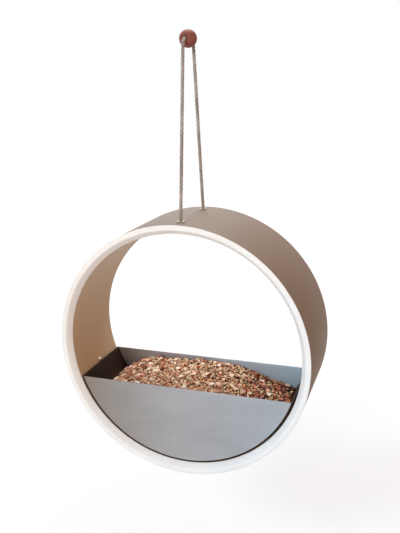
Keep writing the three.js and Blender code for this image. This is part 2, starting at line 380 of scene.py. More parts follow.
def smooth_line(points, step):
    """A smooth curve through the points, cut into equal steps."""
    posts = np.array(points, float)
    reach = np.sqrt(np.linalg.norm(np.diff(posts, axis=0), axis=1))
    at = np.concatenate([[0], np.cumsum(reach)])
    slopes = np.gradient(posts, at, axis=0)
    fine = np.linspace(0, at[-1], FINE_STEPS * len(posts))
    i = np.clip(np.searchsorted(at, fine, side="right") - 1, 0, len(posts) - 2)
    width = (at[i + 1] - at[i])[:, None]
    u = (fine - at[i])[:, None] / width
    start = (2 * u**3 - 3 * u**2 + 1) * posts[i] + (u**3 - 2 * u**2 + u) * width * slopes[i]
    end = (3 * u**2 - 2 * u**3) * posts[i + 1] + (u**3 - u**2) * width * slopes[i + 1]
    line = start + end
    run = run_of(line)
    even = np.linspace(0, run[-1], round(run[-1] / step))
    return np.stack([np.interp(even, run, line[:, k]) for k in range(3)], axis=1)


front_half = [(0, -HOLE_Y, CORD_END_Z)] + [(0, y * MM, z * MM) for y, z in HALF_ROUTE]
rear_half = [(x, -y, z) for x, y, z in reversed(front_half[:-1])]
cord_line = smooth_line(front_half + rear_half, CORD_STEP)

# %% Find the directions round a line
START_SIDE = (0.31, 0.95, 0.05)


def unit(vectors):
    """Vectors of length 1."""
    return vectors / np.linalg.norm(vectors, axis=-1, keepdims=True)


def carried_sides(line):
    """Two directions square to the line at each point, carried along it without twisting."""
    along = unit(np.gradient(line, axis=0))
    side = np.zeros_like(line)
    side[0] = unit(np.cross(along[0], START_SIDE))
    for i in range(1, len(line)):
        side[i] = unit(side[i - 1] - along[i] * np.dot(along[i], side[i - 1]))
    return side, np.cross(along, side)


def angles_round(sides):
    """Equal angles once round."""
    return np.arange(sides) * 2 * math.pi / sides


def spokes(across, beside, sides):
    """Directions evenly round a line, from two that are square to it."""
    angles = angles_round(sides)[:, None]
    return np.cos(angles) * across[:, None] + np.sin(angles) * beside[:, None]


line_across, line_beside = carried_sides(cord_line)
print("directions at", len(line_across), "points of the cord")

# %% Lay three strands round a line
STRANDS = 3
STRAND_SIDES = 8
STRAND_SHARE = 0.275
MARKS_PER_METRE = 100


def tube_faces(rings, sides, first):
    """Quads along a tube of several rings, and the two faces that close its ends."""
    faces = []
    for r in range(rings - 1):
        for s in range(sides):
            t = (s + 1) % sides
            low = first + r * sides
            faces.append((low + s, low + t, low + sides + t, low + sides + s))
    faces.append(tuple(first + s for s in reversed(range(sides))))
    faces.append(tuple(first + (rings - 1) * sides + s for s in range(sides)))
    return faces


def twisted_strands(line, diameter, lay):
    """The points, faces and pattern coordinates of a three-strand cord along a line."""
    across, beside = carried_sides(line)
    run = run_of(line)
    strand_radius = STRAND_SHARE * diameter
    orbit = diameter / 2 - strand_radius
    points, faces, marks = [], [], []
    for strand in range(STRANDS):
        swing = 2 * math.pi * (run / lay + strand / STRANDS)
        out = np.cos(swing)[:, None] * across + np.sin(swing)[:, None] * beside
        core = line + orbit * out
        flank = np.cross(unit(np.gradient(core, axis=0)), out)
        skin = core[:, None] + strand_radius * spokes(out, flank, STRAND_SIDES)
        turns = angles_round(STRAND_SIDES) / (2 * math.pi)
        faces += tube_faces(len(line), STRAND_SIDES, len(points))
        points += skin.reshape(-1, 3).tolist()
        marks += [(share, far * MARKS_PER_METRE) for far in run for share in turns]
    return points, faces, marks


def mesh_piece(name, points, faces, marks=None):
    """A new mesh object, with pattern coordinates if they are given for each point."""
    mesh = bpy.data.meshes.new(name)
    mesh.from_pydata(points, [], faces)
    if marks is not None:
        layer = mesh.uv_layers.new(name="pattern")
        corners = np.array([loop.vertex_index for loop in mesh.loops])
        layer.data.foreach_set("uv", np.array(marks, float)[corners].ravel())
    piece = bpy.data.objects.new(name, mesh)
    bpy.context.scene.collection.objects.link(piece)
    return piece


cord_points, cord_faces, cord_marks = twisted_strands(cord_line, CORD_DIAMETER, CORD_LAY)
print("three strands of", len(cord_points), "points")

# %% Add loose fibres to the cord
FIBRE_COUNT = 420
FIBRE_RADIUS = 0.055 * MM
FIBRE_TAPER = 0.75
FIBRE_RISE = (0.5, 1.7)
FIBRE_REACH = (2, 5)
FIBRE_DRIFT = 0.9
FIBRE_ROOT = 0.42 * CORD_DIAMETER
FIBRE_STEPS = 5
FIBRE_SIDES = 3
FIBRE_MARK = 0.5
FIBRE_CLEAR_Y = 11 * MM
FIBRE_CLEAR_Z = -176 * MM

fibre_draw = np.random.default_rng(11)
line_along = unit(np.gradient(cord_line, axis=0))
t = np.linspace(0, 1, FIBRE_STEPS)[:, None]
thin = FIBRE_RADIUS * (1 - FIBRE_TAPER * t)
fibre_total = 0
while fibre_total < FIBRE_COUNT:
    root = int(fibre_draw.integers(0, len(cord_line)))
    angle = fibre_draw.uniform(0, 2 * math.pi)
    rise = fibre_draw.uniform(*FIBRE_RISE) * MM
    reach = fibre_draw.uniform(*FIBRE_REACH) * MM * fibre_draw.choice((-1, 1))
    drift = fibre_draw.uniform(-FIBRE_DRIFT, FIBRE_DRIFT)
    x, y, z = cord_line[root]
    if abs(y) < FIBRE_CLEAR_Y or z < FIBRE_CLEAR_Z:
        continue
    bent = angle + drift * t
    out = np.cos(bent) * line_across[root] + np.sin(bent) * line_beside[root]
    hair = cord_line[root] + out * (FIBRE_ROOT + rise * t**2) + line_along[root] * reach * t
    skin = hair[:, None] + thin[:, None] * spokes(*carried_sides(hair), FIBRE_SIDES)
    cord_faces += tube_faces(FIBRE_STEPS, FIBRE_SIDES, len(cord_points))
    cord_points += skin.reshape(-1, 3).tolist()
    for far in abs(reach) * MARKS_PER_METRE * t[:, 0]:
        cord_marks += [(FIBRE_MARK, float(far))] * FIBRE_SIDES
    fibre_total += 1
cord = mesh_piece("jute_cord", cord_points, cord_faces, cord_marks)
print(fibre_total, "loose fibres")

# %% [markdown]
# ## Jute finish
# Jute is dull, straw to grey-brown, and streaked along its fibres, which run at a slant on each
# strand. An image of rope would repeat. A noise on the cord's own coordinates follows every turn
# of the strand.

# %% Make the jute
jute = new_finish("jute", 0.9)
jute_fibre = pattern(
    jute, scale=2.2, stretch=(9, 2.4, 1), source="UV", detail=4, rough=0.65, turn=(0, 0, 0.5)
)
jute_length = pattern(jute, scale=55, detail=2)
paint(
    jute,
    (jute_fibre, (0.3, (116, 106, 99)), (0.5, (186, 176, 167)), (0.72, (232, 224, 215))),
    (jute_length, (0.35, (190, 186, 183)), (0.65, (255, 250, 248))),
)
set_shader(jute, {"Sheen Weight": 0.25, "Sheen Roughness": 0.6})
raise_surface(jute, jute_fibre, height=0.25 * MM, strength=0.9)
complete(cord, "jute_cord", jute, smooth=60)

# %% [markdown]
# ## Stopper knots
# The cord's two ends are knotted under the ring, in a pocket that keeps the knot out of the
# opening. A knot could be a lump, but the pocket can be looked into, so the same three strands are
# wound round themselves: in at the top, round almost twice, and out below as a short tail.

# %% Wind the knots
KNOT_Z = -187.0 * MM
KNOT_RADIUS = 3.35 * MM
KNOT_RISE = 1.55 * MM
KNOT_CORD = 3.3 * MM
KNOT_WINDS = 1.75
KNOT_POINTS = 15
KNOT_START_SHARE = 0.45
KNOT_WIDENS = 2.2
KNOT_END_SHARE = 0.3
KNOT_NARROWS = 3.0
KNOT_ENTRY = ((0, 0, -183.8), (0.3, 0, -184.8))
KNOT_TAIL = ((0.2, -0.4, -190), (0.1, 0, -192))


def knot_line(hole_y):
    """The path of a wound knot below a hole, drawn in where it starts and where it ends."""
    points = [(x * MM, hole_y + y * MM, z * MM) for x, y, z in KNOT_ENTRY]
    for t in np.linspace(0, 1, KNOT_POINTS):
        angle = 2 * math.pi * KNOT_WINDS * t
        drawn_in = KNOT_START_SHARE + KNOT_WIDENS * t
        drawn_out = KNOT_END_SHARE + KNOT_NARROWS * (1 - t)
        radius = KNOT_RADIUS * min(1.0, drawn_in, drawn_out)
        height = KNOT_Z + KNOT_RISE * math.cos(math.pi * t)
        points.append((radius * math.cos(angle), hole_y + radius * math.sin(angle), height))
    points += [(x * MM, hole_y + y * MM, z * MM) for x, y, z in KNOT_TAIL]
    return smooth_line(points, CORD_STEP)


for end, hole_y in HOLES:
    strands = twisted_strands(knot_line(hole_y), KNOT_CORD, CORD_LAY)
    knot = complete(mesh_piece("knot", *strands), f"{end}_stopper_knot", jute, smooth=60)
    fit(knot, "ring", "jute_cord", f"{end}_cord_knot")

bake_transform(cord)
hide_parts("hanging_cord")

# %% [markdown]
# ## Ring
# The ring is a bent hoop about 10 mm thick, with a wide chamfer on the inside of each rim. It
# could be a tube with its edges bevelled, but the chamfer is deeper than it is wide. So one flat
# section is drawn, its two inner corners are cut off with a plane, its corners are rounded a
# little, and it is turned round the ring's axis.

# %% Turn the ring
RING_Z = -320 * MM
RING_RADIUS = 140 * MM
RING_WALL = 10.5 * MM
RING_DEPTH = 106 * MM
RING_INNER = RING_RADIUS - RING_WALL
RING_CENTRE = (0, 0, RING_Z)
RING_AXIS = (0, 1, 0)
RING_STEPS = 240
CHAMFER_WIDTH = 5 * MM
CHAMFER_DEPTH = 6.7 * MM
RIM_ROUND = 0.6 * MM

ring = begin(
    bpy.ops.mesh.primitive_plane_add,
    stretch=(RING_WALL, RING_DEPTH, 1),
    size=1,
    location=(RING_RADIUS - RING_WALL / 2, 0, RING_Z),
)
for side in (-1, 1):
    rim_edge = (RING_INNER + CHAMFER_WIDTH, side * RING_DEPTH / 2, RING_Z)
    cut_away(rim_edge, (-CHAMFER_DEPTH, side * CHAMFER_WIDTH, 0))
bpy.ops.mesh.bevel(offset=RIM_ROUND, segments=3, affect="VERTICES")
bpy.ops.mesh.select_all(action="SELECT")
bpy.ops.mesh.delete(type="ONLY_FACE")
bpy.ops.mesh.select_all(action="SELECT")
bpy.ops.mesh.spin(steps=RING_STEPS, angle=2 * math.pi, center=RING_CENTRE, axis=RING_AXIS)
close_mesh()
clear_selection()
print("ring turned with", len(ring.data.polygons), "faces")

# %% [markdown]
# ## Cord holes
# Each cord hole goes straight down through the top of the ring and widens below into the knot's
# pocket. A stepped drill does both at once: a disc is extruded down, widened, and extruded again.

# %% Drill the cord holes
HOLE_RADIUS = 3.3 * MM
POCKET_RADIUS = 5.5 * MM
POCKET_TOP = -183.5 * MM
DRILL_TOP = -170 * MM
DRILL_FOOT = -200 * MM
DRILL_SIDES = 48


def carve(piece, cutter):
    """Takes a cutter's shape out of a piece, and removes the cutter."""
    use_modifier(piece, "BOOLEAN", object=cutter, operation="DIFFERENCE", solver="EXACT")
    bpy.data.objects.remove(cutter)


for _, hole_y in HOLES:
    drill = begin(
        bpy.ops.mesh.primitive_circle_add,
        vertices=DRILL_SIDES,
        radius=HOLE_RADIUS,
        fill_type="NGON",
        location=(0, hole_y, DRILL_TOP),
    )
    extrude((0, 0, POCKET_TOP - DRILL_TOP))
    wider = POCKET_RADIUS / HOLE_RADIUS
    extrude((0, 0, 0))
    resize((wider, wider, 1), (0, hole_y, POCKET_TOP))
    extrude((0, 0, DRILL_FOOT - POCKET_TOP))
    close_mesh()
    carve(ring, drill)
print("ring has", len(ring.data.polygons), "faces after drilling")

# %% [markdown]
# ## Ring finishes
# The outer wall is a matt taupe, with painted warm light that makes it warmer and browner to the
# right. The inner wall shows a warm tan veneer whose grain runs round the hoop, and both rims with
# their chamfers are white, with painted light that tints them warm at the upper left and cool at
# the lower right. Three materials on one mesh keep the border between them as sharp as a masked
# edge. The patterns follow a wrapped map, so that streaks run round the ring.

# %% Make the taupe paint
taupe = new_finish("taupe_paint", 0.62, specular=0.2)
taupe_cloud = pattern(taupe, scale=14, source="UV")
taupe_brush = pattern(taupe, scale=420, stretch=(0.12, 1, 1), source="UV", detail=4, rough=0.6)
taupe_grain = pattern(taupe, scale=900, detail=2)
# The ramp along X is painted warm light: the outer wall turns warmer and browner to the right.
taupe_painted_warm_light = along_x(taupe, RING_RADIUS)
paint(
    taupe,
    (taupe_cloud, (0.3, (141, 128, 117)), (0.7, (151, 137, 126))),
    (taupe_painted_warm_light, (0.3, (250, 253, 255)), (0.6, (252, 250, 248)), (1.0, (252, 238, 222))),
    (taupe_brush, (0.3, (238, 236, 234)), (0.7, WHITE)),
)
roughen(taupe, taupe_cloud, 0.55, 0.7)
raise_surface(taupe, taupe_grain, height=0.08 * MM, strength=0.35)

# %% Make the tan veneer
veneer = new_finish("tan_veneer", 0.55, specular=0.25)
veneer_grain = pattern(veneer, scale=330, stretch=(0.05, 1, 1), source="UV", detail=5, rough=0.62)
veneer_cloud = pattern(veneer, scale=22, stretch=(0.4, 1, 1), source="UV")
veneer_pores = pattern(veneer, scale=1500, stretch=(0.03, 1, 1), source="UV", detail=2)
paint(
    veneer,
    (veneer_grain, (0.28, (191, 165, 134)), (0.5, (204, 179, 147)), (0.75, (213, 191, 160))),
    (veneer_cloud, (0.3, (236, 230, 224)), (0.7, WHITE)),
)
roughen(veneer, veneer_grain, 0.48, 0.62)
raise_surface(veneer, veneer_pores, height=0.06 * MM, strength=0.3)

# %% Make the white rim paint
# The white is tinted along a slanted line as painted light: warm at the upper left, cool at the
# lower right.
WHITE_LIGHT_SLANT = math.radians(-45)
WHITE_LIGHT_SHIFT = RING_Z * math.sin(-WHITE_LIGHT_SLANT)

white = new_finish("white_rim_paint", 0.45)
white_cloud = pattern(white, scale=26, detail=4)
white_grain = pattern(white, scale=700)
white_painted_light_tint = along_x(white, RING_RADIUS, slant=WHITE_LIGHT_SLANT, shift=WHITE_LIGHT_SHIFT)
paint(
    white,
    (white_painted_light_tint, (0.0, (239, 233, 227)), (0.5, (237, 236, 234)), (1.0, (232, 237, 241))),
    (white_cloud, (0.3, (247, 247, 247)), (0.7, WHITE)),
)
roughen(white, white_cloud, 0.38, 0.52)
raise_surface(white, white_grain, height=0.06 * MM, strength=0.3)

# %% Lay the finishes on the ring
INSIDE, RIM = 1, 2
RIM_FACING = 0.3
WALL_NEAR = 0.25 * MM


def wrap_round(piece):
    """Pattern coordinates in metres: the way round the ring, and the way along its axis."""
    layer = piece.data.uv_layers.new(name="wrap")
    for face in piece.data.polygons:
        face_turn = math.atan2(face.center.x, face.center.z - RING_Z)
        for corner in face.loop_indices:
            place = piece.data.vertices[piece.data.loops[corner].vertex_index].co
            turned = math.atan2(place.x, place.z - RING_Z)
            turned += 2 * math.pi * round((face_turn - turned) / (2 * math.pi))
            layer.data[corner].uv = (turned * RING_RADIUS, place.y)


complete(ring, "ring_hoop", taupe, veneer, white, smooth=30)
for face in ring.data.polygons:
    if abs(face.normal.y) > RIM_FACING:
        face.material_index = RIM
    elif math.hypot(face.center.x, face.center.z - RING_Z) < RING_RADIUS - WALL_NEAR:
        face.material_index = INSIDE
wrap_round(ring)
fit(ring, "ring", "ring_paint", "ring_shell")

# %% [markdown]
# ## Eyelets
# A pale metal eyelet keeps the cord from wearing the hole. It is a short tube with a flat flange,
# and its lip is rolled. It could be turned from a section, but one ring of edges that is extruded
# step by step along that section is quicker: up the barrel, out under the flange, over it, and
# down the bore.

# %% Make the pale plating
plated = new_finish("pale_plating", 0.45, metallic=0.7)
plated_wear = pattern(plated, scale=900, detail=4)
paint(plated, (plated_wear, (0.3, (150, 138, 122)), (0.7, (186, 175, 160))))
roughen(plated, plated_wear, 0.38, 0.55)
raise_surface(plated, plated_wear, height=0.04 * MM, strength=0.3)

# %% Form the eyelets
EYELET_BORE = 2.4 * MM
EYELET_BARREL = 3.0 * MM
EYELET_FLANGE = 4.5 * MM
EYELET_TOP = -178.9 * MM
EYELET_SEAT = -179.7 * MM
EYELET_LIP = 0.3 * MM
EYELET_SIDES = 48
LIP_NEAR = 0.05 * MM
EYELET_SECTION = [
    (EYELET_BARREL, POCKET_TOP),
    (EYELET_BARREL, EYELET_SEAT),
    (EYELET_FLANGE, EYELET_SEAT),
    (EYELET_FLANGE, EYELET_TOP),
    (EYELET_BORE, EYELET_TOP),
    (EYELET_BORE, POCKET_TOP),
    (EYELET_BARREL, POCKET_TOP),
]


def walk_ring(sides, section, y=0):
    """Extrudes a ring of edges along a section of radius and height, about an upright axis."""
    radius, height = section[0]
    piece = begin(
        bpy.ops.mesh.primitive_circle_add, vertices=sides, radius=radius, location=(0, y, height)
    )
    for next_radius, next_height in section[1:]:
        extrude((0, 0, next_height - height))
        grow = next_radius / radius
        resize((grow, grow, 1), (0, y, next_height))
        radius, height = next_radius, next_height
    return piece


def on_lip(place, hole_y):
    """Whether a place is on the upper edge of an eyelet's flange or of its bore."""
    out = math.hypot(place.x, place.y - hole_y)
    off = min(abs(out - EYELET_FLANGE), abs(out - EYELET_BORE))
    return place.z > EYELET_TOP - NEAR and off < LIP_NEAR


for end, hole_y in HOLES:
    eyelet = walk_ring(EYELET_SIDES, EYELET_SECTION, hole_y)
    close_mesh()
    pick(eyelet, "edges", lambda m: on_lip(m, hole_y))
    bpy.ops.mesh.bevel(offset=EYELET_LIP, segments=4)
    complete(eyelet, f"{end}_cord_eyelet", plated, smooth=50)
    fit(eyelet, "ring", "eyelet_metal", f"{end}_eyelet")

# %% [markdown]
# ## Stop screws
# A pan head screw on each side of the inner wall keeps the tray from riding up round the ring. The
# ring of edges walks from the tip of the shank, out under the head and over its dome. A cross
# cutter then takes out the recess. The screw is modelled upright once, and each copy is turned
# into its place.

# %% Make the bright steel
steel = new_finish("bright_steel", 0.4, metallic=1.0)
steel_marks = pattern(steel, scale=1400, stretch=(1, 0.2, 1))
paint(steel, (steel_marks, (0.3, (222, 219, 216)), (0.7, (244, 242, 239))))
roughen(steel, steel_marks, 0.34, 0.5)
raise_surface(steel, steel_marks, height=0.03 * MM, strength=0.3)

# %% Form one screw upright
SCREW_SHANK = 1.1 * MM
SCREW_TIP = 0.1 * SCREW_SHANK
SCREW_LENGTH = 8 * MM
SCREW_TAPER = 0.8 * SCREW_LENGTH
SCREW_HEAD = 2 * MM
SCREW_HEAD_HEIGHT = 2 * MM
SCREW_DOME = ((1, 0), (1, 0.45), (0.965, 0.63), (0.87, 0.8), (0.71, 0.92), (0.5, 0.98), (0.25, 1))
SCREW_SIDES = 40
RECESS_SPAN = 2.2 * MM
RECESS_WIDTH = 0.6 * MM
RECESS_DEPTH = 0.8 * MM
RECESS_TAPER = 0.7

shank = [(SCREW_TIP, -SCREW_LENGTH), (SCREW_SHANK, -SCREW_TAPER), (SCREW_SHANK, 0)]
head = [(out * SCREW_HEAD, up * SCREW_HEAD_HEIGHT) for out, up in SCREW_DOME]
screw = walk_ring(SCREW_SIDES, shank + head)
for height in (-SCREW_LENGTH, SCREW_HEAD_HEIGHT):
    pick(screw, "edges", lambda m: abs(m.z - height) < NEAR)
    bpy.ops.mesh.edge_face_add()
close_mesh()
for long_side, short_side in ((RECESS_SPAN, RECESS_WIDTH), (RECESS_WIDTH, RECESS_SPAN)):
    cutter = begin(
        bpy.ops.mesh.primitive_cube_add,
        stretch=(long_side, short_side, 2 * RECESS_DEPTH),
        size=1,
        location=(0, 0, SCREW_HEAD_HEIGHT),
    )
    pick(cutter, "faces", lambda m: m.z < SCREW_HEAD_HEIGHT - RECESS_DEPTH + NEAR)
    resize((RECESS_TAPER, RECESS_TAPER, 1))
    carve(screw, cutter)
print("screw has", len(screw.data.polygons), "faces")

# %% Set both screws in the wall
SCREW_SEAT = 129.2 * MM
SCREW_DROP = math.radians(17.85)

for name, side in (("left", -1), ("right", 1)):
    outward = Vector((side * math.cos(SCREW_DROP), 0, -math.sin(SCREW_DROP)))
    placed = bpy.data.objects.new("screw", screw.data.copy())
    bpy.context.scene.collection.objects.link(placed)
    turned = (-outward).to_track_quat("Z", "Y").to_matrix().to_4x4()
    placed.matrix_world = Matrix.Translation(Vector(RING_CENTRE) + SCREW_SEAT * outward) @ turned
    complete(placed, f"{name}_tray_screw", steel, smooth=35)
    fit(placed, "ring", "screw_steel", f"{name}_stop_screw")
bpy.data.objects.remove(screw)

# %% [markdown]
# ## Bead
# The cord loop runs through a red-brown wooden bead. It is a ball with its two ends cut flat and a
# bore through it. The ends are inset to the bore's size, the two small faces are deleted, and the
# open rims are bridged into the bore. A boolean would do too, but a bridge leaves clean rings of
# faces.

# %% Make the red-brown wood
rosewood = new_finish("red_brown_wood", 0.6, specular=0.25)
wood_grain = pattern(rosewood, scale=900, stretch=(1, 0.08, 1), detail=5, rough=0.6)
wood_bands = pattern(rosewood, scale=190, stretch=(1, 0.15, 1))
paint(
    rosewood,
    (wood_bands, (0.3, (120, 62, 50)), (0.55, (152, 88, 74)), (0.75, (170, 104, 86))),
    (wood_grain, (0.3, (190, 170, 160)), (0.6, WHITE)),
)
roughen(rosewood, wood_grain, 0.52, 0.68)
raise_surface(rosewood, wood_grain, height=0.05 * MM, strength=0.35)

# %% Turn the bead
UPRIGHT = (math.pi / 2, 0, 0)
BEAD_RADIUS = 9 * MM
BEAD_HALF = 8 * MM
BEAD_BALL_HALF = 9.62 * MM
BEAD_END_RADIUS = 5 * MM
BEAD_BORE = 2.15 * MM
BEAD_EDGE = 0.5 * MM
BORE_NEAR = 0.3 * MM

bead = begin(
    bpy.ops.mesh.primitive_uv_sphere_add,
    stretch=(BEAD_RADIUS, BEAD_BALL_HALF, BEAD_RADIUS),
    segments=64,
    ring_count=32,
    radius=1,
    rotation=UPRIGHT,
)
for side in (-1, 1):
    cut_away((0, side * BEAD_HALF, 0), (0, side, 0), fill=True)
close_mesh()
pick(bead, "faces", lambda m: abs(m.y) > BEAD_HALF - NEAR)
bpy.ops.mesh.inset(thickness=BEAD_END_RADIUS - BEAD_BORE)
bpy.ops.mesh.delete(type="FACE")
bore_rim = BEAD_BORE + BORE_NEAR
pick(bead, "edges", lambda m: abs(m.y) > BEAD_HALF - NEAR and math.hypot(m.x, m.z) < bore_rim)
bpy.ops.mesh.bridge_edge_loops()
close_mesh()
complete(bead, "wooden_bead", rosewood, smooth=40)
use_modifier(bead, "BEVEL", width=BEAD_EDGE, segments=3, limit_method="ANGLE", angle_limit=0.6)
complete(bead, "wooden_bead", rosewood, smooth=50)
fit(bead, "bead", "bead_wood", "hanging_bead")

# %% [markdown]
# ## Tray
# The tray is three pieces of sheet: a dark trough bent to the ring's curve and a thinner flat zinc
# panel set into each end of it. All are cut level along the rim. A whole hoop and two whole discs
# are made first, and one level plane then cuts all three, which is how their rims come out at the
# same height.

# %% Make the zinc sheet
ZINC_LIGHT_REACH = 120 * MM


def zinc_sheet(name, left, between, right):
    """Brushed, lightly clouded zinc, with painted shade and reflection turning along the sheet."""
    zinc = new_finish(name, 0.45, metallic=0.1)
    brush = pattern(zinc, scale=520, stretch=(0.05, 1, 1), detail=4, rough=0.6)
    cloud = pattern(zinc, scale=34, stretch=(0.35, 1, 1), detail=4)
    spots = pattern(zinc, scale=160)
    paint(
        zinc,
        (along_x(zinc, ZINC_LIGHT_REACH), (0.0, left), (0.45, between), (1.0, right)),
        (brush, (0.3, (246, 246, 247)), (0.7, WHITE)),
        (cloud, (0.3, (240, 239, 241)), (0.7, WHITE)),
    )
    roughen(zinc, spots, 0.38, 0.5)
    raise_surface(zinc, brush, height=0.02 * MM, strength=0.15)
    return zinc


# The colours along each panel are painted light. The front panel is warm at the left, a painted
# reflection of the tan wall, and cool at the right, a painted reflection of the sky. The rear panel
# is dark and warm at the left, painted shade of the ring's left wall, and pale blue at the right,
# painted sky light.
front_zinc_painted_light = zinc_sheet("front_satin_zinc_painted_light", (133, 122, 110), (167, 168, 170), (164, 175, 184))
rear_zinc_painted_light = zinc_sheet("rear_satin_zinc_painted_light", (157, 149, 140), (167, 165, 175), (205, 236, 255))

# %% Make the trough's dark finish, partly painted shade
dark_sheet_and_shade = new_finish("dark_trough_and_shade", 0.6, specular=0.15)
dark_sheet_cloud = pattern(dark_sheet_and_shade, scale=60, detail=5, rough=0.65)
dark_sheet_spots = pattern(dark_sheet_and_shade, scale=500)
# The dark browns are partly the sheet's own colour and partly painted shade: the trough's dark
# inner walls and its thick edge round the panels stand in for the shade deep in the tray and in the
# gap by the ring.
paint(dark_sheet_and_shade, (dark_sheet_cloud, (0.3, (30, 18, 9)), (0.7, (52, 34, 21))))
roughen(dark_sheet_and_shade, dark_sheet_spots, 0.5, 0.7)
raise_surface(dark_sheet_and_shade, dark_sheet_spots, height=0.05 * MM, strength=0.3)

# %% Bend the trough
TRAY_Z = -321.7 * MM
TRAY_RADIUS = 127.5 * MM
TRAY_DEPTH = RING_DEPTH - 2 * CHAMFER_DEPTH
TRAY_RIM_Z = -361.9 * MM
TRAY_STEPS = 360
TROUGH_SHEET = 1.8 * MM
PANEL_SHEET = 1 * MM
SHEET_EDGE = 0.2 * MM
SHEET_CORNER = 0.9


def trim_sheet(sheet):
    """Cuts an open sheet level along the tray's rim, closes it and takes off its sharp edges."""
    cut_away((0, 0, TRAY_RIM_Z), (0, 0, 1), fill=True)
    close_mesh()
    corners = {"limit_method": "ANGLE", "angle_limit": SHEET_CORNER}
    use_modifier(sheet, "BEVEL", width=SHEET_EDGE, segments=2, **corners)


trough = begin(
    bpy.ops.mesh.primitive_circle_add,
    vertices=TRAY_STEPS,
    radius=TRAY_RADIUS,
    location=(0, -TRAY_DEPTH / 2, TRAY_Z),
    rotation=UPRIGHT,
)
extrude((0, TRAY_DEPTH, 0))
close_mesh()
use_modifier(trough, "SOLIDIFY", thickness=TROUGH_SHEET, offset=-1)
trim_sheet(edit(trough))
complete(trough, "tray_trough_sheet", dark_sheet_and_shade, smooth=40)
fit(trough, "tray", "dark_sheet", "tray_trough")

# %% Cut the two panels
PANELS = (
    ("front", -TRAY_DEPTH / 2, front_zinc_painted_light),
    ("rear", TRAY_DEPTH / 2 - PANEL_SHEET, rear_zinc_painted_light),
)

for name, near_face, zinc in PANELS:
    panel = begin(
        bpy.ops.mesh.primitive_circle_add,
        vertices=TRAY_STEPS,
        radius=TRAY_RADIUS - TROUGH_SHEET,
        fill_type="NGON",
        location=(0, near_face, TRAY_Z),
        rotation=UPRIGHT,
    )
    extrude((0, PANEL_SHEET, 0))
    trim_sheet(panel)
    complete(panel, f"tray_{name}_sheet", zinc, smooth=40)
    fit(panel, "tray", "zinc_sheet", f"tray_{name}_panel")

# %% [markdown]
# ## Seed bed
# The tray is full of mixed seed: level in the middle, sloping down at the left end, and lower at
# the right. Thousands of grains to the bottom would never be seen. A closed bed fills the tray to
# a few millimetres under the surface, and real grains cover it. The bed is a flat grid whose
# points are lifted to the heap's height, and its underside follows the trough.

# %% Describe the heap
SEED_LEVEL = 4.8 * MM
SEED_CROWN = 2.2 * MM
CROWN_PLACE = 4 * MM
CROWN_SPREAD = 32 * MM
LEFT_SHOULDER = 75 * MM
LEFT_SLOPE = 0.58
RIGHT_SHOULDER = 35 * MM
RIGHT_SLOPE = 0.27
SHOULDER_ROUND = 8 * MM
MOUND_HEIGHT = 2.2 * MM
MOUND_SPACING = 18 * MM
MOUND_DRIFT = 5 * MM
MOUND_DRIFT_LENGTH = 41 * MM
RIM_BELOW_CENTRE = TRAY_Z - TRAY_RIM_Z


def rounded_ramp(distance):
    """Nothing before a shoulder and the distance after it, with the corner rounded."""
    return (distance + np.hypot(distance, SHOULDER_ROUND)) / 2


def mound(x, y):
    """Shallow mounds in staggered rows that drift, so that they don't line up."""
    wave = math.sqrt(2) * math.pi / MOUND_SPACING
    drift = 2 * math.pi / MOUND_DRIFT_LENGTH
    along = np.cos(wave * (x + MOUND_DRIFT * np.sin(drift * y)))
    across = np.cos(wave * (y + MOUND_DRIFT * np.sin(drift * x)))
    return MOUND_HEIGHT / 2 * along * across


def heap_height(x, y):
    """How high the seed lies, from the tray's own centre, at a place in the tray."""
    crown = SEED_CROWN * np.exp(-(((x - CROWN_PLACE) / CROWN_SPREAD) ** 2))
    left = LEFT_SLOPE * rounded_ramp(-x - LEFT_SHOULDER)
    right = RIGHT_SLOPE * rounded_ramp(x - RIGHT_SHOULDER)
    return -RIM_BELOW_CENTRE - SEED_LEVEL + crown + mound(x, y) - left - right


heap_drop = -RIM_BELOW_CENTRE - heap_height(0, 0)
print("heap lies", round(heap_drop / MM, 1), "mm below the rim in the middle")

# %% Shape the seed bed
TROUGH_LENGTH = TRAY_DEPTH - 2 * PANEL_SHEET
BED_RADIUS = 125.3 * MM
BED_DEPTH = TROUGH_LENGTH - 0.6 * MM
BED_LOW_X = -108 * MM
BED_HIGH_X = 106 * MM
BED_SLAB = 1 * MM
BED_LEAST = 0.3 * MM
COVER = 3 * MM

bed = begin(
    bpy.ops.mesh.primitive_grid_add,
    stretch=(BED_HIGH_X - BED_LOW_X, BED_DEPTH, 1),
    x_subdivisions=120,
    y_subdivisions=44,
    size=1,
    location=((BED_LOW_X + BED_HIGH_X) / 2, 0, TRAY_RIM_Z),
)
extrude((0, 0, -BED_SLAB))
shape = bmesh.from_edit_mesh(bed.data)
for point in shape.verts:
    wall = -math.sqrt(BED_RADIUS**2 - point.co.x**2)
    top = float(heap_height(point.co.x, point.co.y)) - COVER
    upper = point.co.z > TRAY_RIM_Z - BED_SLAB / 2
    point.co.z = TRAY_Z + (max(top, wall + BED_LEAST) if upper else wall)
bmesh.update_edit_mesh(bed.data)
close_mesh()
print("bed has", len(shape.faces), "faces")

# %% Make the crumbs of the bed, dark as painted shade
crumbs_and_shade = new_finish("seed_crumbs_and_shade", 0.85)
crumb_shade_noise = pattern(crumbs_and_shade, scale=420, detail=4, rough=0.7)
# The bed's dark browns are painted shade: the bed shows only in the gaps between the grains, where
# it stands for the shade there.
paint(crumbs_and_shade, (crumb_shade_noise, (0.3, (42, 25, 17)), (0.5, (80, 51, 35)), (0.7, (126, 88, 64))))
raise_surface(crumbs_and_shade, crumb_shade_noise, height=1.0 * MM, strength=1.0)
complete(bed, "seed_bed", crumbs_and_shade, smooth=60)
fit(bed, "tray", "mixed_seed", "seed_fill")

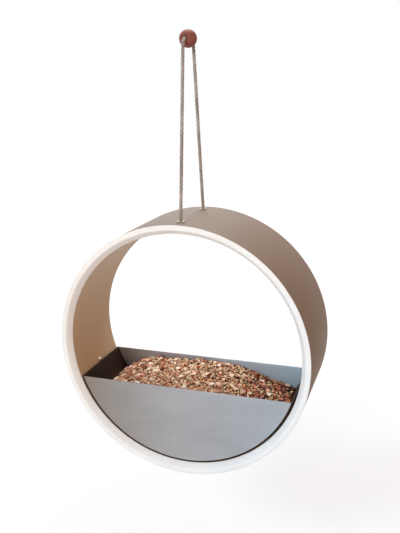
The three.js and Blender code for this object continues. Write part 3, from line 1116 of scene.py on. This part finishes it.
# %% [markdown]
# ## Grains
# The mix has pale round millet, straw canary seed, wheat, red-brown milo, orange maize chips,
# broken nuts, cream and brown flakes, a few sunflower hearts and some dark seeds. Each kind is
# modelled once, with a few dozen faces: a ball is stretched, its ends are drawn in, a crease is
# pushed in, or corners are cut off it. Every kind also has a home along the tray, where most of
# it gathers. This is partly how poured seed sorts itself and partly painted shade: the darkest
# kinds gather at the right end and make that end darker, as if shaded.

# %% Shape a grain in five ways
CHIP_FACES = (
    ((0.3, 0, 0), (1, 0.3, 0.4)),
    ((-0.28, 0, 0), (-1, 0.5, 0.2)),
    ((0, 0.33, 0), (0.3, 1, -0.3)),
    ((0, 0, 0.3), (-0.2, -0.3, 1)),
)
CHIP_SPARE = 1.1


def ball(length, width, thickness, rings=5):
    """A ball with its poles along X, stretched to a grain's size, in edit mode."""
    return begin(
        bpy.ops.mesh.primitive_uv_sphere_add,
        stretch=(length, width, thickness),
        segments=8,
        ring_count=rings,
        radius=0.5,
        rotation=(0, math.pi / 2, 0),
    )


def round_grain(length, width, thickness):
    """Millet, milo or hemp: a ball with a small flat scar at one end."""
    grain = ball(length, width, thickness)
    cut_away((0.42 * length, 0, 0), (1, 0, 0.2), fill=True)
    return grain


def pointed_grain(length, width, thickness):
    """Canary seed or a sunflower heart: drawn out at one end."""
    grain = ball(length, width, thickness, rings=6)
    pick(grain, "verts", lambda m: m.x > 0.15 * length)
    resize((1, 0.62, 0.7), (0, 0, -0.1 * thickness))
    pick(grain, "verts", lambda m: m.x < -0.4 * length)
    nudge((0.06 * length, 0, 0))
    return grain


def creased_grain(length, width, thickness):
    """Wheat: a plump grain with a crease along it."""
    grain = ball(length, width, thickness, rings=6)
    pick(grain, "verts", lambda m: abs(m.y) < 0.05 * width and m.z > 0.2 * thickness)
    nudge((0, 0, -0.22 * thickness))
    pick(grain, "verts", lambda m: m.x > 0.3 * length)
    resize((1, 0.8, 0.8))
    return grain


def chip_grain(length, width, thickness):
    """Cracked maize or nut: a ball with flat broken faces."""
    grain = ball(length * CHIP_SPARE, width * CHIP_SPARE, thickness * CHIP_SPARE)
    for (x, y, z), normal in CHIP_FACES:
        cut_away((x * length, y * width, z * thickness), normal, fill=True)
    return grain


def flake_grain(length, width, thickness):
    """A flake: a thin disc, split at one side and slightly cupped."""
    flat = bpy.ops.mesh.primitive_circle_add
    grain = begin(flat, stretch=(length, width, 1), vertices=11, radius=0.5, fill_type="TRIFAN")
    pick(grain, "verts", lambda m: m.x > 0.42 * length)
    nudge((-0.24 * length, 0, 0.3 * thickness))
    pick(grain, "verts", lambda m: m.y < -0.4 * width)
    nudge((0, 0.06 * width, 0.9 * thickness))
    pick(grain, "verts", lambda m: m.length < 0.05 * width)
    nudge((0, 0, -0.8 * thickness))
    bpy.ops.mesh.select_all(action="SELECT")
    extrude((0, 0, thickness))
    return grain


print("five grain shapes ready")

# %% Model one grain of each kind
# Sizes and homes are in millimetres, and the count is how many fall. The two colours are those of
# the darkest and the lightest grain.
Kind = namedtuple("Kind", "model size count home dark light")
KINDS = {
    "millet": Kind(round_grain, (2.5, 2.3, 2.1), 1800, 5, (160, 96, 60), (255, 246, 212)),
    "canary_seed": Kind(pointed_grain, (4.8, 2.2, 2.0), 1000, -5, (156, 96, 62), (255, 242, 208)),
    "wheat": Kind(creased_grain, (6.0, 3.1, 2.7), 360, -90, (150, 88, 62), (228, 166, 128)),
    "milo": Kind(round_grain, (3.4, 3.2, 2.9), 540, 100, (92, 44, 32), (172, 94, 70)),
    "maize_chip": Kind(chip_grain, (4.4, 3.6, 2.8), 130, 60, (204, 112, 66), (244, 170, 114)),
    "nut_chip": Kind(chip_grain, (5.0, 4.0, 3.0), 220, -40, (208, 146, 116), (255, 226, 202)),
    "nut_kernel": Kind(chip_grain, (8.2, 5.6, 3.8), 40, -90, (164, 98, 74), (236, 182, 150)),
    "oat_flake": Kind(flake_grain, (7.8, 5.8, 0.7), 80, -90, (232, 202, 178), (255, 248, 236)),
    "bran_flake": Kind(flake_grain, (8.2, 5.4, 0.8), 60, 95, (120, 64, 46), (200, 130, 98)),
    "sunflower_heart": Kind(
        pointed_grain, (8.6, 4.6, 3.0), 10, 70, (218, 194, 168), (255, 242, 226)
    ),
    "dark_seed": Kind(round_grain, (3.0, 2.5, 2.3), 150, 80, (36, 22, 16), (80, 50, 38)),
}

grain_shapes = {}
for name, kind in KINDS.items():
    grain = kind.model(*(value * MM for value in kind.size))
    close_mesh()
    clear_selection()
    points = np.array([v.co for v in grain.data.vertices])
    faces = [tuple(face.vertices) for face in grain.data.polygons]
    grain_shapes[name] = (points, faces)
    print(name, "has", len(faces), "faces")
    bpy.data.objects.remove(grain)

# %% [markdown]
# ## Laying the grains
# A rigid body simulation of thousands of grains is slow. Laying them on a height map gives the
# same look. Every grain lies down on what is under it, tilted as that slopes, and raises the map
# where it lies. A second map is a ceiling: the heap's top, and the underside of a large kernel
# where one lies.

# %% Keep two maps of the heap
CELL = 0.5 * MM
PROUD = 1.6 * MM

map_x = np.arange(BED_LOW_X, BED_HIGH_X, CELL)
map_y = np.arange(-BED_DEPTH / 2, BED_DEPTH / 2, CELL)
grid_x, grid_y = np.meshgrid(map_x, map_y, indexing="ij")
full = heap_height(grid_x, grid_y)
heap = np.maximum(full - COVER, -np.sqrt(BED_RADIUS**2 - grid_x**2))
ceiling = full + PROUD
print("map has", heap.shape, "cells")

# %% Lay one grain on the maps
laid = {name: ([], [], []) for name in KINDS}


def lying(normal, yaw, roll):
    """A turn that lays a grain flat on a slope, at a heading and rolled about its length."""
    onto_slope = Vector((0, 0, 1)).rotation_difference(Vector(normal).normalized()).to_matrix()
    return np.array(onto_slope @ Matrix.Rotation(yaw, 3, "Z") @ Matrix.Rotation(roll, 3, "X"))


def footprint(x, y, yaw, long_half, wide_half):
    """The cells under a grain: a window in the maps, which of them, their places, and its bulge."""
    i0, i1 = np.searchsorted(map_x, (x - long_half, x + long_half))
    j0, j1 = np.searchsorted(map_y, (y - long_half, y + long_half))
    window = (slice(i0, i1), slice(j0, j1))
    near_x = grid_x[window] - x
    near_y = grid_y[window] - y
    along = (near_x * math.cos(yaw) + near_y * math.sin(yaw)) / long_half
    across = (near_y * math.cos(yaw) - near_x * math.sin(yaw)) / wide_half
    reach = along**2 + across**2
    under = reach < 1
    spots = np.stack([near_x[under], near_y[under]], axis=1)
    return window, under, spots, np.sqrt(1 - reach[under])


def add_grain(name, grow, place, slopes, yaw, roll, tone):
    """Adds one grain's points and faces to its kind's, at a place and tilted with the slopes."""
    points, faces = grain_shapes[name]
    turned = (points * grow) @ lying((-slopes[0], -slopes[1], 1), yaw, roll).T
    all_points, all_faces, tones = laid[name]
    all_faces.extend(tuple(p + len(all_points) for p in face) for face in faces)
    all_points.extend((turned + (*place[:2], place[2] + TRAY_Z)).tolist())
    tones.extend([tone] * len(points))


print("ready to lay", len(laid), "kinds")

# %% [markdown]
# ## Large kernels
# The largest flakes and kernels work their way to the top of a shaken mix. They are few enough for
# the measured solid to hold them too, so they lie at the same places here: one in each cell of a
# grid, shifted and turned on by the golden angle, which never repeats.

# %% Lay the large kernels
KERNEL_LENGTH = 8 * MM
KERNEL_HALF_WIDTH = 2.7 * MM
KERNEL_THICKNESS = 3 * MM
KERNEL_SPACING = 12 * MM
KERNEL_SHIFT = 3 * MM
KERNEL_REACH = 100 * MM
KERNEL_TILT = 0.5
GOLDEN_ANGLE = math.pi * (3 - math.sqrt(5))
LEFT_KERNELS = ("nut_kernel", "oat_flake", "bran_flake", "nut_kernel", "oat_flake")
MIDDLE_KERNELS = ("nut_chip", "oat_flake", "wheat", "nut_chip", "sunflower_heart")
# The right end gets the dark bran flakes, partly as painted shade for that end.
RIGHT_KERNELS = ("bran_flake", "wheat", "bran_flake", "oat_flake", "nut_kernel")
MIDDLE_REACH = 52 * MM


def slopes_at(x, y):
    """How the heap slopes along X and along Y under a large kernel."""
    east, west = heap_height(x + KERNEL_HALF_WIDTH, y), heap_height(x - KERNEL_HALF_WIDTH, y)
    north, south = heap_height(x, y + KERNEL_HALF_WIDTH), heap_height(x, y - KERNEL_HALF_WIDTH)
    return (east - west) / (2 * KERNEL_HALF_WIDTH), (north - south) / (2 * KERNEL_HALF_WIDTH)


kernel_dice = np.random.default_rng(7)
columns = int(KERNEL_REACH / KERNEL_SPACING)
rows = int((TROUGH_LENGTH / 2 - KERNEL_LENGTH) / KERNEL_SPACING)
cells = [(i, j) for i in range(-columns, columns + 1) for j in range(-rows, rows + 1)]
for number, (i, j) in enumerate(cells):
    heading = GOLDEN_ANGLE * number
    x = KERNEL_SPACING * i + KERNEL_SHIFT * math.cos(heading)
    y = KERNEL_SPACING * j + KERNEL_SHIFT * math.sin(heading)
    slopes = slopes_at(x, y)
    order = MIDDLE_KERNELS
    if abs(x) > MIDDLE_REACH:
        order = LEFT_KERNELS if x < 0 else RIGHT_KERNELS
    name = order[number % len(order)]
    long_half, wide_half, half = (0.5 * value * MM for value in KINDS[name].size)
    z = heap_height(x, y) + KERNEL_THICKNESS / 2 - half
    window, under, spots, bulge = footprint(x, y, heading, long_half, wide_half)
    underside = z + spots @ slopes - half * bulge
    ceiling[window][under] = np.minimum(ceiling[window][under], underside)
    tilt = kernel_dice.uniform(-KERNEL_TILT, KERNEL_TILT)
    tone = kernel_dice.uniform(0, 1)
    add_grain(name, 1.0, (x, y, z), slopes, heading, tilt, tone)
print("large kernels laid:", len(cells))

# %% [markdown]
# ## Raining the small grains
# The small grains rain down round the large ones. Each rolls to the lowest of a few seeded random
# places, as a real grain would, with a pull to its kind's home. One that would stand proud of the
# heap is left out.

# %% Rain the small grains
PLACES = 3
HOME_AND_SHADE_PULL = 3 * MM
GROWTH = (0.82, 1.15)
WALL_CLEAR = 0.5 * MM
WALL_SHARE = 0.85
END_SHARE = 0.6
FLAT_FROM = 1.3
FLAT_ROLL = 0.25
FEWEST_CELLS = 5
STEEPEST = 0.9
REST_PERCENT = 70
REST_SHARE = 0.84

rain = np.random.default_rng(29)
falls = []
for name, kind in KINDS.items():
    falls += [(moment, name) for moment in rain.uniform(0, 1, kind.count)]
for _, name in sorted(falls):
    kind = KINDS[name]
    grow = rain.uniform(*GROWTH)
    long_half, wide_half, half = (0.5 * value * MM * grow for value in kind.size)
    room = TROUGH_LENGTH / 2 - WALL_CLEAR - WALL_SHARE * long_half
    places_x = rain.uniform(BED_LOW_X, BED_HIGH_X, PLACES)
    places_y = rain.uniform(-room, room, PLACES)
    cells_there = (np.searchsorted(map_x, places_x) - 1, np.searchsorted(map_y, places_y) - 1)
    astray = HOME_AND_SHADE_PULL * ((places_x - kind.home * MM) / BED_HIGH_X) ** 2
    lowest = np.argmin((heap - ceiling)[cells_there] + astray)
    x, y = places_x[lowest], places_y[lowest]
    yaw = rain.uniform(0, 2 * math.pi)
    flat = kind.size[1] >= FLAT_FROM * kind.size[2]
    roll = rain.normal(0, FLAT_ROLL) if flat else rain.uniform(0, 2 * math.pi)
    tone = rain.uniform(0, 1)
    window, under, spots, bulge = footprint(x, y, yaw, long_half, wide_half)
    if len(spots) < FEWEST_CELLS:
        continue
    heights = heap[window][under]
    plane = np.column_stack([spots, np.ones(len(spots))])
    slopes = np.clip(np.linalg.lstsq(plane, heights, rcond=None)[0][:2], -STEEPEST, STEEPEST)
    z = np.percentile(heights - spots @ slopes, REST_PERCENT) + REST_SHARE * half
    crest = z + spots @ slopes + half * bulge
    past_end = math.hypot(x, z) > BED_RADIUS - END_SHARE * long_half
    if past_end or np.any(crest > ceiling[window][under]):
        continue
    heap[window][under] = np.maximum(heights, crest)
    add_grain(name, grow, (x, y, z), slopes, yaw, roll, tone)
print("grains laid:", {name: len(laid[name][0]) // len(grain_shapes[name][0]) for name in KINDS})

# %% [markdown]
# ## Grain finishes
# Every grain keeps its own tone, which is stored on its points, so that two neighbours of one kind
# differ. A fine noise mottles each of them. The dull skins get a soft gloss.

# %% Colour the grains
MOTTLE = (216, 186, 158)


def grain_finish(name, dark, light):
    """A seed skin between two colours, chosen by each grain's own tone and mottled."""
    skin = new_finish(f"{name}_skin", 0.55, specular=0.3)
    tone = add_node(skin, "Attribute", {}, attribute_name="tone").outputs["Fac"]
    mottle = pattern(skin, scale=900)
    paint(skin, (tone, (0.0, dark), (1.0, light)), (mottle, (0.3, MOTTLE), (0.65, WHITE)))
    roughen(skin, mottle, 0.4, 0.6)
    raise_surface(skin, mottle, height=0.15 * MM, strength=0.5)
    return skin


for name, (points, faces, tones) in laid.items():
    grains = mesh_piece(name, points, faces)
    mark = grains.data.attributes.new("tone", "FLOAT", "POINT")
    mark.data.foreach_set("value", np.array(tones, np.float32))
    finish = grain_finish(name, KINDS[name].dark, KINDS[name].light)
    complete(grains, f"seed_{name}", finish, smooth=70)
    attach(grains, "tray")

# %% [markdown]
# ## Studio
# The feeder hangs in front of white, over a pale floor that keeps its soft shadow. The sky gives
# most of the light, soft and even, and warmer on the right. A soft lamp stands high at the front
# left, and one high behind the ring shines in under it on the seed. Two weak ones open the rims, a
# cool one in front of the feeder and a warm one at the right. The camera and the metal see the sky
# as plain white, which adds no light.

# %% Set the floor
FLOOR_Z = -0.62
FLOOR_SIZE = 12
FLOOR_COLOUR = (0.6, 0.61, 0.62, 1)
FLOOR_REACH = (0.2, 2.2)
FLOOR_GLOW = (0.29, 0.8)
FULL_LIGHT = (1, 1, 1, 1)


def seen_directly(owner):
    """1 for camera, glossy and transmission rays, and 0 for the rays that carry light."""
    rays = add_node(owner, "LightPath", {}).outputs
    seen = rays["Is Camera Ray"]
    for ray in ("Is Glossy Ray", "Is Transmission Ray"):
        seen = add_node(owner, "Math", {0: seen, 1: rays[ray]}, operation="MAXIMUM").outputs[0]
    return seen


clear_selection()
bpy.ops.mesh.primitive_plane_add(size=FLOOR_SIZE, location=(0, 0, FLOOR_Z))
floor = bpy.context.object
floor.name = "floor"
floor_paint = new_finish("floor_paint", 1.0, specular=0.0)
floor_place = add_node(floor_paint, "TexCoord", {}).outputs["Object"]
floor_distance = add_node(floor_paint, "VectorMath", {0: floor_place}, operation="LENGTH")
floor_glow = rescale(floor_paint, floor_distance.outputs["Value"], FLOOR_REACH, FLOOR_GLOW)
floor_parts = {0: floor_glow, 1: seen_directly(floor_paint)}
floor_seen = add_node(floor_paint, "Math", floor_parts, operation="MULTIPLY").outputs[0]
set_shader(
    floor_paint,
    {"Base Color": FLOOR_COLOUR, "Emission Color": FULL_LIGHT, "Emission Strength": floor_seen},
)
floor.data.materials.append(floor_paint)
print("floor at", FLOOR_Z, "m")

# %% Set the sky
SKY_LIGHT = 0.41
SKY_LEFT = (0.96, 0.98, 1.0, 1)
SKY_RIGHT = (1.0, 0.4, 0.19, 1)

world = bpy.data.worlds.new("studio")
bpy.context.scene.world = world
world.use_nodes = True
sky = world.node_tree.nodes["Background"]
sky_side = along_x(world, 1.0, source="Generated")
sky_colour = ramp(world, sky_side, (0.5, SKY_LEFT), (0.9, SKY_RIGHT))
feed(world, sky, {"Color": sky_colour, "Strength": SKY_LIGHT})
backdrop = add_node(world, "Background", {"Color": FULL_LIGHT, "Strength": 1.0})
sky_parts = {0: seen_directly(world), 1: sky.outputs[0], 2: backdrop.outputs[0]}
choice = add_node(world, "MixShader", sky_parts)
feed(world, world.node_tree.nodes["World Output"], {"Surface": choice.outputs[0]})
print("sky set")

# %% Hang the lamps
# Each lamp has its place and its width in metres, its watts and its colour.
LAMPS = {
    "key_lamp": ((-0.7, -1.5, 0.75), 0.5, 14.8, (0.93, 0.98, 1.0)),
    "top_lamp": ((-0.2, 0.7, 1.0), 0.7, 19, (0.98, 0.99, 1.0)),
    "front_lamp": ((0, -1.05, -0.36), 0.5, 2.7, (0.92, 0.97, 1.0)),
    "right_lamp": ((1.1, -1.4, 0.0), 0.8, 4.5, (1.0, 0.86, 0.7)),
}

for name, (place, width, watts, colour) in LAMPS.items():
    data = bpy.data.lights.new(name, "AREA")
    data.size = width
    data.energy = watts
    data.color = colour
    lamp = bpy.data.objects.new(name, data)
    lamp.location = place
    lamp.rotation_mode = "QUATERNION"
    lamp.rotation_quaternion = (Vector(RING_CENTRE) - Vector(place)).to_track_quat("-Z", "Y")
    bpy.context.scene.collection.objects.link(lamp)
bpy.context.scene.view_settings.view_transform = "Standard"
print(len(LAMPS), "lamps hung")
